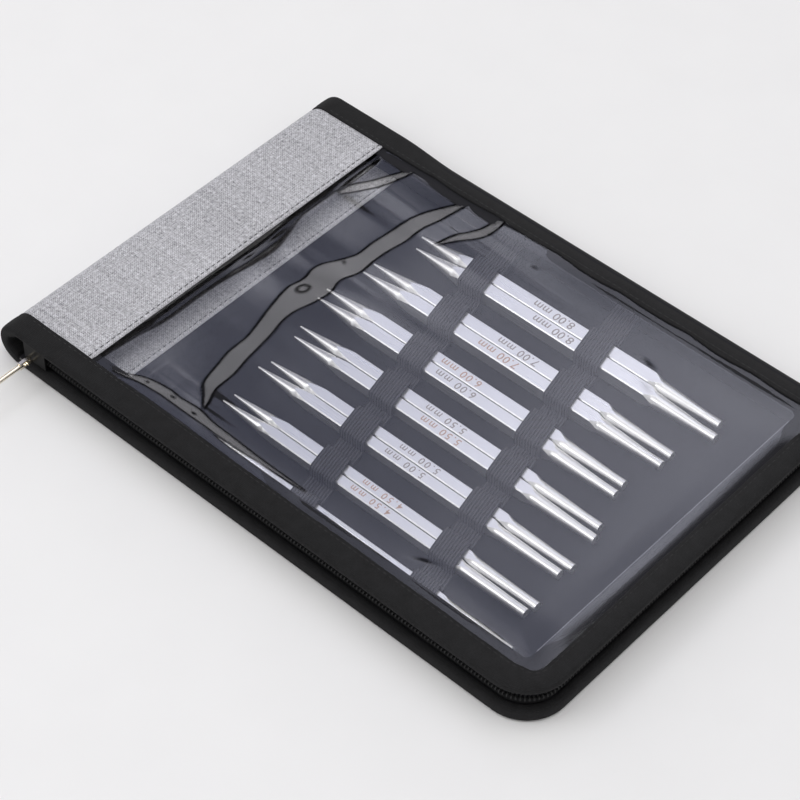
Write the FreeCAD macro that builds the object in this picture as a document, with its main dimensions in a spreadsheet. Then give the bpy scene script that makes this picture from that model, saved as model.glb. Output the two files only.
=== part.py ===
import FreeCAD, Part
import math
import os
import Sketcher

# Zipped folio for interchangeable knitting needle tips, lying closed on a table.
# +X runs from the spine to the free end, +Y from the near long side to the far one, +Z up.
# The origin is the middle of the back cover's underside. All sizes are millimetres.

doc = FreeCAD.newDocument("NeedleCase")
sheet = doc.addObject("Spreadsheet::Sheet", "Sizes")

DRIVING_SIZES = [
    # Needle tips: square bars with a turned point and a turned tail
    ("needle_length", 127.0),
    ("needle_side", 3.6),
    ("needle_side_step", 0.26),
    ("point_length", 26.0),
    ("point_blunt", 0.3),
    ("needle_edge", 0.3),
    ("tail_shoulder", 4.0),
    ("tail_taper", 19.0),
    ("ferrule_length", 6.0),
    ("ferrule_radius", 1.6),
    ("screw_bore_radius", 0.7),
    ("screw_bore_depth", 6.0),
    ("needle_lift", 0.2),
    # Layout of the needle pairs on the lining
    ("pair_gap", 0.3),
    ("pair_pitch", 19.6),
    ("pair_pitch_step", 0.45),
    ("far_room", 29.2),
    ("near_room", 14.95),
    ("tip_room", 63.2),
    ("tail_room", 22.8),
    # Elastic bands
    ("band_width", 9.6),
    ("band_thick", 0.7),
    ("band_slant", 12.3),
    ("band_spacing", 49.8),
    ("band_reach", 70.0),
    ("band_end_room", 1.0),
    ("loop_slack", 0.3),
    ("loop_foot", 1.8),
    # Covers, from the table upwards
    ("corner_radius", 15.0),
    ("fold_gap", 0.6),
    ("binding_thick", 0.7),
    ("binding_width", 9.0),
    ("binding_ledge", 3.0),
    ("cover_fabric", 0.6),
    ("board_thick", 1.6),
    ("lining_thick", 0.8),
    ("strip_thick", 0.6),
    ("inner_strip_width", 42.0),
    ("facing_thick", 0.6),
    ("facing_width", 12.5),
    ("vinyl_thick", 0.5),
    ("strip_width", 35.6),
    ("strip_lap", 4.0),
    # Zip
    ("zip_tape_thick", 0.6),
    ("tape_lead", 1.0),
    ("coil_height", 1.5),
    ("coil_thick", 2.0),
    ("coil_gap", 1.5),
    ("stop_length", 1.2),
    ("slider_length", 10.0),
    ("slider_height", 7.0),
    ("slider_wall", 0.8),
    ("slider_post", 2.4),
    ("slider_gap", 0.3),
    ("slider_rest", 16.0),
    ("bail_length", 3.0),
    ("bail_width", 0.8),
    ("bail_wall", 0.8),
    ("bail_reach", 1.2),
    ("pull_length", 30.0),
    ("pull_radius", 0.9),
    ("pull_thick", 1.2),
    ("pull_arm", 0.6),
    ("fork_depth", 3.2),
    ("pull_pin_radius", 0.4),
]
for row, (alias, value) in enumerate(DRIVING_SIZES, start=1):
    sheet.set(f"A{row}", alias)
    sheet.set(f"B{row}", str(value))
    sheet.setAlias(f"B{row}", alias)
doc.recompute()

# How far each pair is pushed towards the spine from the rearmost one, how much further along +X its
# far needle lies than its near one, and how far the pair strays towards +Y from its place in the row.
# The lists run from the far pair to the near pair.
PAIR_PUSH = (7.4, 11.7, 15.0, 9.0, 6.6, 4.9, 0.0)
PAIR_STAGGER = (-2.4, 0.0, -0.6, -1.8, 1.5, 0.9, 1.0)
PAIR_STRAY = (0.0, -0.7, -0.6, 0.0, 0.55, 0.25, 0.0)
DEEPEST_PUSH = max(PAIR_PUSH)
PAIRS = len(PAIR_PUSH)
PITCHES = PAIRS - 1
STEPS_IN_ALL = PITCHES * (PITCHES - 1) / 2


def size(name):
    return f"Sizes.{name}"


def value_of(expression):
    return float(sheet.evalExpression(expression))


# Outline of the folio, worked out from the needles that it holds
CASE_LENGTH = f"({size('needle_length')} + {DEEPEST_PUSH} + {size('tip_room')} + {size('tail_room')})"
PITCH_SUM = f"({PITCHES} * {size('pair_pitch')} - {STEPS_IN_ALL} * {size('pair_pitch_step')})"
CASE_WIDTH = f"({size('far_room')} + {PITCH_SUM} + {size('near_room')})"
END_X = f"({CASE_LENGTH} / 2)"
SIDE_Y = f"({CASE_WIDTH} / 2)"

# Heights of the layers
TAPE = size("zip_tape_thick")
BIND = size("binding_thick")
COVER_TOP = f"({BIND} + {size('cover_fabric')})"
BOARD_TOP = f"({COVER_TOP} + {size('board_thick')})"
LINING_TOP = f"({BOARD_TOP} + {size('lining_thick')})"
BACK_TOP = f"({LINING_TOP} + {TAPE} + {BIND})"
FRONT_BOTTOM = f"({BACK_TOP} + {size('slider_height')} + 2 * {size('slider_gap')})"
FACING_BOTTOM = f"({FRONT_BOTTOM} + {BIND} + {TAPE})"
VINYL_BOTTOM = f"({FACING_BOTTOM} + {size('facing_thick')})"
VINYL_TOP = f"({VINYL_BOTTOM} + {size('vinyl_thick')})"
CASE_HEIGHT = f"({VINYL_TOP} + {BIND})"
ZIP_MIDDLE = f"(({BACK_TOP} + {FRONT_BOTTOM}) / 2)"

# The spine is a half round that joins the flat covers at the two fold lines
SPINE_RADIUS = f"({CASE_HEIGHT} / 2)"
SPINE_THICK = f"(2 * {COVER_TOP})"
SPINE_X = f"({SPINE_RADIUS} - {END_X})"
FOLD_X = f"({SPINE_X} + {size('fold_gap')})"
PAST_FOLD_X = f"({SPINE_X} - {SPINE_RADIUS})"
HEM_X = f"({size('strip_width')} - {END_X})"

# The zip tape stands on edge just inside the binding's ledge
TAPE_OUT = size("binding_ledge")
TAPE_IN = f"({TAPE_OUT} + {TAPE})"
COIL_OUT = f"({TAPE_OUT} + {TAPE} / 2 - {size('coil_thick')} / 2)"
COIL_IN = f"({COIL_OUT} + {size('coil_thick')})"
BACK_COIL_BOTTOM = f"({ZIP_MIDDLE} - {size('coil_gap')} / 2 - {size('coil_height')})"
FRONT_COIL_BOTTOM = f"({ZIP_MIDDLE} + {size('coil_gap')} / 2)"
FRONT_COIL_TOP = f"({FRONT_COIL_BOTTOM} + {size('coil_height')})"
SLIDER_X = f"({size('slider_rest')} - {END_X})"
STOP_X = f"({SLIDER_X} - {size('slider_length')} / 2 - {size('slider_gap')} - {size('stop_length')})"
COIL_X = f"({STOP_X} + {size('stop_length')})"
FRONT_COIL_X = f"({SLIDER_X} + {size('slider_length')} / 2 + 2 * {size('slider_gap')})"
PLATE_IN = f"({size('coil_thick')} / 2 + {size('slider_gap')})"
PLATE_OUT = f"({PLATE_IN} + {size('slider_wall')})"
TAPE_MIDDLE = f"({TAPE_OUT} + {TAPE} / 2)"

pieces = []


def new_body(label):
    body = doc.addObject("PartDesign::Body", label)
    body.Label = label
    pieces.append(body)
    return body


def origin_plane(body, role):
    for feature in body.Origin.OriginFeatures:
        if feature.Role == role:
            return feature
    raise ValueError(f"{body.Label} has no {role}")


def new_sketch(body, name, role, level):
    sketch = body.newObject("Sketcher::SketchObject", f"{body.Name}_{name}")
    sketch.AttachmentSupport = [(origin_plane(body, role), "")]
    sketch.MapMode = "FlatFace"
    sketch.setExpression("AttachmentOffset.Base.z", level)
    return sketch


def pin_point(sketch, geometry, end, across, up):
    """Holds one end of a line, or a centre, at two expressions from the sketch's origin."""
    for kind, expression in (("DistanceX", across), ("DistanceY", up)):
        index = sketch.addConstraint(Sketcher.Constraint(kind, -1, 1, geometry, end, value_of(expression)))
        sketch.setExpression(f"Constraints[{index}]", expression)


def hold_radius(sketch, geometry, radius):
    index = sketch.addConstraint(Sketcher.Constraint("Radius", geometry, value_of(radius)))
    sketch.setExpression(f"Constraints[{index}]", radius)


def polygon(body, name, role, level, corners):
    """A closed outline of straight lines through corners given as pairs of expressions."""
    sketch = new_sketch(body, name, role, level)
    points = [FreeCAD.Vector(value_of(across), value_of(up), 0) for across, up in corners]
    count = len(points)
    for index in range(count):
        sketch.addGeometry(Part.LineSegment(points[index], points[(index + 1) % count]), False)
    for index in range(count):
        sketch.addConstraint(Sketcher.Constraint("Coincident", index, 2, (index + 1) % count, 1))
    for index, (across, up) in enumerate(corners):
        pin_point(sketch, index, 1, across, up)
    return sketch


def rectangle(body, name, role, level, low, high):
    corners = [low, (high[0], low[1]), high, (low[0], high[1])]
    return polygon(body, name, role, level, corners)


def disc(body, name, role, level, radius):
    sketch = new_sketch(body, name, role, level)
    circle = Part.Circle(FreeCAD.Vector(0, 0, 0), FreeCAD.Vector(0, 0, 1), value_of(radius))
    sketch.addGeometry(circle, False)
    sketch.addConstraint(Sketcher.Constraint("Coincident", 0, 3, -1, 1))
    hold_radius(sketch, 0, radius)
    return sketch


def folio_outline(body, name, level, inset, left):
    """The folio's outline drawn in by an inset: square at the left, rounded at the free end."""
    right = f"({END_X} - {inset})"
    side = f"({SIDE_Y} - {inset})"
    radius = f"max({size('corner_radius')} - {inset}; {TAPE})"
    x0, x1, y1, r = (value_of(text) for text in (left, right, side, radius))
    sketch = new_sketch(body, name, "XY_Plane", level)
    up = FreeCAD.Vector(0, 0, 1)
    near_centre = FreeCAD.Vector(x1 - r, r - y1, 0)
    far_centre = FreeCAD.Vector(x1 - r, y1 - r, 0)
    near_arc = Part.ArcOfCircle(Part.Circle(near_centre, up, r), -math.pi / 2, 0)
    far_arc = Part.ArcOfCircle(Part.Circle(far_centre, up, r), 0, math.pi / 2)
    sketch.addGeometry(Part.LineSegment(FreeCAD.Vector(x0, -y1, 0), FreeCAD.Vector(x1 - r, -y1, 0)), False)
    sketch.addGeometry(near_arc, False)
    sketch.addGeometry(Part.LineSegment(FreeCAD.Vector(x1, r - y1, 0), FreeCAD.Vector(x1, y1 - r, 0)), False)
    sketch.addGeometry(far_arc, False)
    sketch.addGeometry(Part.LineSegment(FreeCAD.Vector(x1 - r, y1, 0), FreeCAD.Vector(x0, y1, 0)), False)
    sketch.addGeometry(Part.LineSegment(FreeCAD.Vector(x0, y1, 0), FreeCAD.Vector(x0, -y1, 0)), False)
    for first, second in ((0, 1), (1, 2), (2, 3), (3, 4)):
        sketch.addConstraint(Sketcher.Constraint("Tangent", first, 2, second, 1))
    sketch.addConstraint(Sketcher.Constraint("Coincident", 4, 2, 5, 1))
    sketch.addConstraint(Sketcher.Constraint("Coincident", 5, 2, 0, 1))
    sketch.addConstraint(Sketcher.Constraint("Vertical", 2))
    sketch.addConstraint(Sketcher.Constraint("Horizontal", 4))
    pin_point(sketch, 1, 3, f"({right} - {radius})", f"({radius} - {side})")
    pin_point(sketch, 5, 1, left, side)
    pin_point(sketch, 5, 2, left, f"-{side}")
    hold_radius(sketch, 1, radius)
    return sketch


def half_ring(body, name, level, outer, thick):
    """The spine's half-round section in the XZ plane, bulging towards -X."""
    centre_x, radius, wall = value_of(SPINE_X), value_of(outer), value_of(thick)
    centre_z = value_of(SPINE_RADIUS)
    sketch = new_sketch(body, name, "XZ_Plane", level)
    centre = FreeCAD.Vector(centre_x, centre_z, 0)
    up = FreeCAD.Vector(0, 0, 1)
    for ring in (radius, radius - wall):
        sketch.addGeometry(Part.ArcOfCircle(Part.Circle(centre, up, ring), math.pi / 2, 1.5 * math.pi), False)
    for sign in (1, -1):
        start = FreeCAD.Vector(centre_x, centre_z + sign * radius, 0)
        end = FreeCAD.Vector(centre_x, centre_z + sign * (radius - wall), 0)
        sketch.addGeometry(Part.LineSegment(start, end), False)
    for line, arc_end in ((2, 1), (3, 2)):
        sketch.addConstraint(Sketcher.Constraint("Coincident", line, 1, 0, arc_end))
        sketch.addConstraint(Sketcher.Constraint("Coincident", line, 2, 1, arc_end))
        sketch.addConstraint(Sketcher.Constraint("Vertical", line))
    sketch.addConstraint(Sketcher.Constraint("Coincident", 0, 3, 1, 3))
    sketch.addConstraint(Sketcher.Constraint("Vertical", 0, 1, 0, 3))
    pin_point(sketch, 0, 3, SPINE_X, SPINE_RADIUS)
    hold_radius(sketch, 0, outer)
    hold_radius(sketch, 1, f"({outer} - {thick})")
    return sketch


def extrude(body, kind, sketch, length, side="One side", reverse=False):
    feature = body.newObject(f"PartDesign::{kind}", f"{sketch.Name}_{kind}")
    feature.Profile = sketch
    feature.SideType = side
    feature.Reversed = reverse
    feature.setExpression("Length", length)
    sketch.Visibility = False
    doc.recompute()
    return feature


def add_plate(body, name, level, height, inset, left=FOLD_X):
    return extrude(body, "Pad", folio_outline(body, name, level, inset, left), height)


def cut_plate(body, name, level, depth, inset, left=PAST_FOLD_X):
    before = body.Shape.Volume
    feature = extrude(body, "Pocket", folio_outline(body, name, level, inset, left), depth)
    if body.Shape.Volume >= before:
        raise ValueError(f"{body.Label} {name} cut nothing")
    return feature


def add_box(body, name, low, high):
    """A straight block between two corners given as expressions."""
    sketch = rectangle(body, name, "XY_Plane", low[2], low[:2], high[:2])
    return extrude(body, "Pad", sketch, f"({high[2]} - {low[2]})")


# Back cover: outer fabric pressed thin under its binding, board, lining and the inner hem strip
back_cover = new_body("back_cover")
add_plate(back_cover, "Edge", BIND, size("cover_fabric"), BIND)
add_plate(back_cover, "Field", "0", COVER_TOP, size("binding_width"))

back_board = new_body("back_board")
add_plate(back_board, "Board", COVER_TOP, size("board_thick"), BIND)

lining_panel = new_body("lining_panel")
add_plate(lining_panel, "Lining", BOARD_TOP, size("lining_thick"), BIND)

inner_strip = new_body("inner_spine_strip")
INNER_STRIP_Y = f"({SIDE_Y} - {COIL_IN} - {size('slider_wall')} - 2 * {size('slider_gap')})"
STRIP_TOP = f"({LINING_TOP} + {size('strip_thick')})"
INNER_HEM_X = f"({size('inner_strip_width')} - {END_X})"
strip_low = (FOLD_X, f"-{INNER_STRIP_Y}", LINING_TOP)
add_box(inner_strip, "Strip", strip_low, (INNER_HEM_X, INNER_STRIP_Y, STRIP_TOP))


def make_border(label, bottom, top, outer, inner, left=FOLD_X):
    """A flat strip round the three free sides, between two insets from the folio's outline."""
    body = new_body(label)
    height = f"({top} - {bottom})"
    add_plate(body, "Blank", bottom, height, outer, left)
    cut_plate(body, "Inside", top, height, inner)
    return body


# Binding tape, folded over each cover's edge: a wide outer face, an edge, and a narrow ledge by the zip
WIDE = size("binding_width")
FACE_INSIDE = f"({CASE_HEIGHT} - {BIND})"
make_border("back_binding_face", "0", BIND, "0", WIDE)
make_border("back_binding_edge", BIND, f"({BACK_TOP} - {BIND})", "0", BIND)
make_border("back_binding_ledge", f"({BACK_TOP} - {BIND})", BACK_TOP, "0", TAPE_OUT)
make_border("front_binding_face", FACE_INSIDE, CASE_HEIGHT, "0", WIDE)
make_border("front_binding_edge", f"({FRONT_BOTTOM} + {BIND})", FACE_INSIDE, "0", BIND)
make_border("front_binding_ledge", FRONT_BOTTOM, f"({FRONT_BOTTOM} + {BIND})", "0", TAPE_OUT)


def make_zip_tape(label, bottom, top):
    """The tape's standing edge in three runs: two straight sides, and the free end with its corners."""
    for name, side in (("near", -1), ("far", 1)):
        body = new_body(f"{label}_{name}")
        low = (STOP_X, f"({side} * ({SIDE_Y} - {TAPE_OUT}))", bottom)
        add_box(body, "Run", low, (END_RUN_X, f"({side} * ({SIDE_Y} - {TAPE_IN}))", top))
    make_border(f"{label}_end", bottom, top, TAPE_OUT, TAPE_IN, END_RUN_X)


# Zip tapes: each has a hem sewn under the binding's ledge, and stands on edge along the zip
END_RUN_X = f"({END_X} - {size('corner_radius')} - {size('tape_lead')})"
make_border("back_zip_hem", LINING_TOP, f"({LINING_TOP} + {TAPE})", BIND, TAPE_OUT, STOP_X)
make_zip_tape("back_zip_tape", LINING_TOP, BACK_COIL_BOTTOM)
make_border("front_zip_hem", f"({FRONT_BOTTOM} + {BIND})", FACING_BOTTOM, BIND, TAPE_OUT, STOP_X)
make_zip_tape("front_zip_tape", FRONT_COIL_TOP, FACING_BOTTOM)

# Outer envelopes of the two rows of nylon coil, each sewn along the edge of its tape
BACK_COIL_TOP = f"({BACK_COIL_BOTTOM} + {size('coil_height')})"
make_border("back_zip_coil", BACK_COIL_BOTTOM, BACK_COIL_TOP, COIL_OUT, COIL_IN, COIL_X)
front_coil = make_border("front_zip_coil", FRONT_COIL_BOTTOM, FRONT_COIL_TOP, COIL_OUT, COIL_IN, COIL_X)

# The front row starts past the parked slider on the near side, so the front lifts clear of it
parked_low = (COIL_X, f"-{SIDE_Y}")
parked = rectangle(front_coil, "Parked", "XY_Plane", FRONT_COIL_TOP, parked_low, (FRONT_COIL_X, "0"))
extrude(front_coil, "Pocket", parked, size("coil_height"))


def make_stop(label, bottom, side):
    """A small clip closed over the end of a coil."""
    body = new_body(label)
    out_y = f"({side} * ({SIDE_Y} - {COIL_OUT}))"
    in_y = f"({side} * ({SIDE_Y} - {COIL_IN}))"
    add_box(body, "Clip", (STOP_X, out_y, bottom), (COIL_X, in_y, f"({bottom} + {size('coil_height')})"))


make_stop("zip_bottom_stop", BACK_COIL_BOTTOM, -1)
make_stop("back_zip_top_stop", BACK_COIL_BOTTOM, 1)
make_stop("front_zip_top_stop", FRONT_COIL_BOTTOM, 1)

# Front cover: clear vinyl window, its slate facing, and the fabric strip lapped over the vinyl
LAP_X = f"({HEM_X} - {size('strip_lap')})"
window = new_body("window_sheet")
add_plate(window, "Vinyl", VINYL_BOTTOM, size("vinyl_thick"), BIND, LAP_X)

make_border("window_facing", FACING_BOTTOM, VINYL_BOTTOM, BIND, size("facing_width"))

FACING_Y = f"({SIDE_Y} - {size('facing_width')})"
strip_lining = new_body("front_strip_lining")
add_box(strip_lining, "Lining", (FOLD_X, f"-{FACING_Y}", FACING_BOTTOM), (HEM_X, FACING_Y, VINYL_BOTTOM))

front_strip = new_body("front_spine_strip")
HEMMED_Y = f"({SIDE_Y} - {BIND})"
FIELD_Y = f"({SIDE_Y} - {size('binding_width')})"
add_box(front_strip, "Seam", (FOLD_X, f"-{HEMMED_Y}", VINYL_BOTTOM), (LAP_X, HEMMED_Y, VINYL_TOP))
add_box(front_strip, "Field", (FOLD_X, f"-{FIELD_Y}", VINYL_TOP), (HEM_X, FIELD_Y, CASE_HEIGHT))


def make_spine_layer(label, edge_outer, edge_thick, field_outer, field_thick):
    """One fabric layer of the spine: full thickness in the middle, pressed thin under the end bindings."""
    body = new_body(label)
    edge = half_ring(body, "Edge", "0", edge_outer, edge_thick)
    extrude(body, "Pad", edge, f"(2 * ({SIDE_Y} - {BIND}))", "Symmetric")
    field = half_ring(body, "Field", "0", field_outer, field_thick)
    extrude(body, "Pad", field, f"(2 * ({SIDE_Y} - {size('binding_width')}))", "Symmetric")


EDGE_RADIUS = f"({SPINE_RADIUS} - {BIND})"
SEAM_RADIUS = f"({SPINE_RADIUS} - {COVER_TOP})"
make_spine_layer("spine_cover", EDGE_RADIUS, size("cover_fabric"), SPINE_RADIUS, COVER_TOP)
make_spine_layer("spine_lining", SEAM_RADIUS, size("cover_fabric"), SEAM_RADIUS, COVER_TOP)


def make_spine_binding(label, side):
    """The binding folded over one end of the spine; side is -1 for the near end."""
    body = new_body(label)
    outward = f"(0 - {side} * {SIDE_Y})"
    inward = f"(0 - {side} * ({SIDE_Y} - {size('binding_width')}))"
    blank = half_ring(body, "Blank", outward, SPINE_RADIUS, SPINE_THICK)
    extrude(body, "Pad", blank, size("binding_width"), reverse=side < 0)
    slot = half_ring(body, "Slot", inward, EDGE_RADIUS, f"({SPINE_THICK} - 2 * {BIND})")
    before = body.Shape.Volume
    extrude(body, "Pocket", slot, f"({size('binding_width')} - {BIND})", reverse=side < 0)
    if body.Shape.Volume >= before:
        raise ValueError(f"{label} slot cut nothing")


make_spine_binding("near_spine_binding", -1)
make_spine_binding("far_spine_binding", 1)


# Needle tips: a square bar whose two ends are turned round, bored for the cable's screw
def pair_side(pair):
    return f"({size('needle_side')} + {PITCHES - pair} * {size('needle_side_step')})"


def pair_y(pair):
    steps = pair * (pair - 1) / 2
    spread = f"({pair} * {size('pair_pitch')} - {steps} * {size('pair_pitch_step')})"
    return f"({SIDE_Y} - {size('far_room')} - {spread} + {PAIR_STRAY[pair]})"


# Parts of its side from a square bar's axis to a little past its flats and its corners
PAST_FLAT = 0.52
PAST_CORNER = 0.75


def make_needle(label, pair, row):
    """row is 1 for the far needle of the pair and -1 for the near one."""
    body = new_body(label)
    length, side = size("needle_length"), pair_side(pair)
    half, beyond = f"({side} / 2)", f"({PAST_CORNER} * {side})"
    flat = f"({half} - {size('needle_edge')})"
    bar_corners = [
        (f"-{flat}", f"-{half}"),
        (flat, f"-{half}"),
        (half, f"-{flat}"),
        (half, flat),
        (flat, half),
        (f"-{flat}", half),
        (f"-{half}", flat),
        (f"-{half}", f"-{flat}"),
    ]
    bar = polygon(body, "Bar", "YZ_Plane", "0", bar_corners)
    extrude(body, "Pad", bar, length)
    point_outline = [("0", size("point_blunt")), (size("point_length"), beyond), ("0", beyond)]
    ferrule_start = f"({length} - {size('ferrule_length')})"
    taper_start = f"({ferrule_start} - {size('tail_taper')})"
    shoulder_start = f"({taper_start} - {size('tail_shoulder')})"
    ferrule = size("ferrule_radius")
    tail_outline = [
        (length, ferrule),
        (ferrule_start, ferrule),
        (taper_start, f"({PAST_FLAT} * {side})"),
        (shoulder_start, beyond),
        (length, beyond),
    ]
    for name, outline in (("Point", point_outline), ("Tail", tail_outline)):
        turning = polygon(body, name, "XY_Plane", "0", outline)
        before = body.Shape.Volume
        groove = body.newObject("PartDesign::Groove", f"{turning.Name}_Groove")
        groove.Profile = turning
        groove.ReferenceAxis = (turning, ["H_Axis"])
        groove.Angle = 360.0
        turning.Visibility = False
        doc.recompute()
        if body.Shape.Volume >= before:
            raise ValueError(f"{label} {name} cut nothing")
    before = body.Shape.Volume
    bore = disc(body, "Bore", "YZ_Plane", length, size("screw_bore_radius"))
    extrude(body, "Pocket", bore, size("screw_bore_depth"))
    if body.Shape.Volume >= before:
        raise ValueError(f"{label} bore cut nothing")
    tail_x = f"({END_X} - {size('tail_room')} - {PAIR_PUSH[pair]} + {row * PAIR_STAGGER[pair] / 2})"
    body.setExpression("Placement.Base.x", f"{tail_x} - {length}")
    body.setExpression("Placement.Base.y", f"{pair_y(pair)} + {row} * ({side} + {size('pair_gap')}) / 2")
    body.setExpression("Placement.Base.z", f"{LINING_TOP} + {size('needle_lift')} + {half}")


for pair in range(PAIRS):
    make_needle(f"needle_{pair + 1}_far", pair, 1)
    make_needle(f"needle_{pair + 1}_near", pair, -1)


# Elastic bands: sewn down to the lining between the pairs and raised over each pair
BAND_END_Y = f"({SIDE_Y} - {TAPE_IN} - {size('band_end_room')})"
BAND_SHIFT = f"(tan({size('band_slant')}) * {BAND_END_Y})"
BAND_HALF = f"({size('band_width')} / 2 / cos({size('band_slant')}))"


def loop_over(pair, lift):
    """The band's path over one pair from near to far, on its underside or lifted to its top."""
    side, middle = pair_side(pair), pair_y(pair)
    crown = f"({side} + {size('pair_gap')} / 2 + {size('loop_slack')} + {lift})"
    foot = f"({crown} + {size('loop_foot')})"
    low = f"({LINING_TOP} + {lift})"
    high = f"({low} + {size('needle_lift')} + {side} + {size('loop_slack')})"
    return [
        (f"({middle} - {foot})", low),
        (f"({middle} - {crown})", high),
        (f"({middle} + {crown})", high),
        (f"({middle} + {foot})", low),
    ]


def make_band(label, reach):
    """The loops run along X with the needles, and the band itself crosses them at a slant."""
    body = new_body(label)
    section = []
    for lift in ("0", size("band_thick")):
        path = [(f"-{BAND_END_Y}", f"({LINING_TOP} + {lift})")]
        for pair in reversed(range(PAIRS)):
            path += loop_over(pair, lift)
        path.append((BAND_END_Y, f"({LINING_TOP} + {lift})"))
        section += path if not section else path[::-1]
    middle_x = f"({END_X} - {reach})"
    low_x = f"({middle_x} - {BAND_SHIFT} - {BAND_HALF})"
    high_x = f"({middle_x} + {BAND_SHIFT} + {BAND_HALF})"
    extrude(body, "Pad", polygon(body, "Section", "YZ_Plane", low_x, section), f"({high_x} - {low_x})")
    near_low_x = f"({middle_x} + {BAND_SHIFT} - {BAND_HALF})"
    far_high_x = f"({middle_x} - {BAND_SHIFT} + {BAND_HALF})"
    low_side = [(low_x, f"-{BAND_END_Y}"), (near_low_x, f"-{BAND_END_Y}"), (low_x, BAND_END_Y)]
    high_side = [(high_x, BAND_END_Y), (far_high_x, BAND_END_Y), (high_x, f"-{BAND_END_Y}")]
    for name, corners in (("LowSide", low_side), ("HighSide", high_side)):
        slant = polygon(body, name, "XY_Plane", CASE_HEIGHT, corners)
        extrude(body, "Pocket", slant, CASE_HEIGHT)


make_band("tail_elastic_band", size("band_reach"))
make_band("tip_elastic_band", f"({size('band_reach')} + {size('band_spacing')})")

# Zip slider: two plates held apart by a post, with edges turned in behind the coils
slider = new_body("zip_slider")
HALF_LENGTH = f"({size('slider_length')} / 2)"
HALF_HEIGHT = f"({size('slider_height')} / 2)"
NECK = f"({TAPE} / 2 + {size('slider_gap')})"
LIP = f"({HALF_HEIGHT} - {size('slider_wall')})"
POST = f"({size('coil_gap')} / 2 - {size('slider_gap')})"
shell_low = (f"-{HALF_LENGTH}", f"-{HALF_HEIGHT}")
shell = rectangle(slider, "Shell", "XZ_Plane", "0", shell_low, (HALF_LENGTH, HALF_HEIGHT))
extrude(slider, "Pad", shell, f"(2 * {PLATE_OUT})", "Symmetric")
for name, sign in (("UpperTrack", ""), ("LowerTrack", "-")):
    track_corners = [
        (f"-{PLATE_IN}", f"{sign}{POST}"),
        (PLATE_IN, f"{sign}{POST}"),
        (PLATE_IN, f"{sign}{LIP}"),
        (NECK, f"{sign}{LIP}"),
        (NECK, f"{sign}{HALF_HEIGHT}"),
        (f"-{NECK}", f"{sign}{HALF_HEIGHT}"),
        (f"-{NECK}", f"{sign}{LIP}"),
        (f"-{PLATE_IN}", f"{sign}{LIP}"),
    ]
    track = polygon(slider, name, "YZ_Plane", "0", track_corners)
    extrude(slider, "Pocket", track, size("slider_length"), "Symmetric")
POST_BACK = f"({HALF_LENGTH} - {size('slider_post')})"
rear = rectangle(slider, "Rear", "XZ_Plane", "0", (f"-{HALF_LENGTH}", f"-{POST}"), (POST_BACK, POST))
extrude(slider, "Pocket", rear, f"(2 * {PLATE_IN})", "Symmetric")
SLIDER_Y = f"({TAPE_MIDDLE} - {SIDE_Y})"

# Bail on the outer plate, bridging the pull's pin
bail = new_body("slider_bail")
HALF_PULL = f"({size('pull_thick')} / 2)"
PIN_ROOM = f"({HALF_PULL} + {size('slider_gap')})"
PIN_STAND = f"({size('bail_reach')} + {PIN_ROOM})"
HALF_BAIL = f"({size('bail_length')} / 2)"
BAIL_IN = f"(0 - {PLATE_OUT} - {PIN_STAND} - {PIN_ROOM})"
BAIL_OUT = f"({BAIL_IN} - {size('bail_wall')})"
FOOT_IN = f"({HALF_BAIL} - {size('bail_wall')})"
bail_corners = [
    (f"-{HALF_BAIL}", f"-{PLATE_OUT}"),
    (f"-{FOOT_IN}", f"-{PLATE_OUT}"),
    (f"-{FOOT_IN}", BAIL_IN),
    (FOOT_IN, BAIL_IN),
    (FOOT_IN, f"-{PLATE_OUT}"),
    (HALF_BAIL, f"-{PLATE_OUT}"),
    (HALF_BAIL, BAIL_OUT),
    (f"-{HALF_BAIL}", BAIL_OUT),
]
bridge = polygon(bail, "Bridge", "XY_Plane", "0", bail_corners)
extrude(bail, "Pad", bridge, size("bail_width"), "Symmetric")

# Pull: a slim round rod whose flat head is forked over the bail and turns on its pin
pull = new_body("zip_pull")
FORK_ROOM = f"({size('bail_width')} + 2 * {size('slider_gap')})"
PULL_WIDTH = f"({FORK_ROOM} + 2 * {size('pull_arm')})"
HEAD_END = f"({size('fork_depth')} + {size('pull_thick')})"
bar = rectangle(pull, "Bar", "XY_Plane", "0", (f"-{HALF_PULL}", f"-{HEAD_END}"), (HALF_PULL, "0"))
extrude(pull, "Pad", bar, PULL_WIDTH, "Symmetric")
extrude(pull, "Pad", disc(pull, "Head", "XY_Plane", "0", HALF_PULL), PULL_WIDTH, "Symmetric")
fork_low = (f"-{HALF_PULL}", f"-{size('fork_depth')}")
fork = rectangle(pull, "Fork", "XY_Plane", "0", fork_low, (HALF_PULL, HALF_PULL))
extrude(pull, "Pocket", fork, FORK_ROOM, "Symmetric")
extrude(pull, "Pad", disc(pull, "Pin", "XY_Plane", "0", size("pull_pin_radius")), PULL_WIDTH, "Symmetric")
rod = disc(pull, "Rod", "XZ_Plane", size("fork_depth"), size("pull_radius"))
extrude(pull, "Pad", rod, f"({size('pull_length')} - {size('fork_depth')})")
PIN_Y = f"({SLIDER_Y} - {PLATE_OUT} - {PIN_STAND})"
for moving, across in ((slider, SLIDER_Y), (bail, SLIDER_Y), (pull, PIN_Y)):
    moving.setExpression("Placement.Base.x", SLIDER_X)
    moving.setExpression("Placement.Base.y", across)
    moving.setExpression("Placement.Base.z", ZIP_MIDDLE)

doc.recompute()
for item in doc.Objects:
    if "Invalid" in item.State or "Error" in item.State:
        raise ValueError(f"{item.Label} failed: {item.State}")
for piece in pieces:
    if piece.Shape.isNull() or not piece.Shape.isValid() or not piece.Shape.Solids:
        raise ValueError(f"{piece.Label} has no valid solid")

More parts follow.
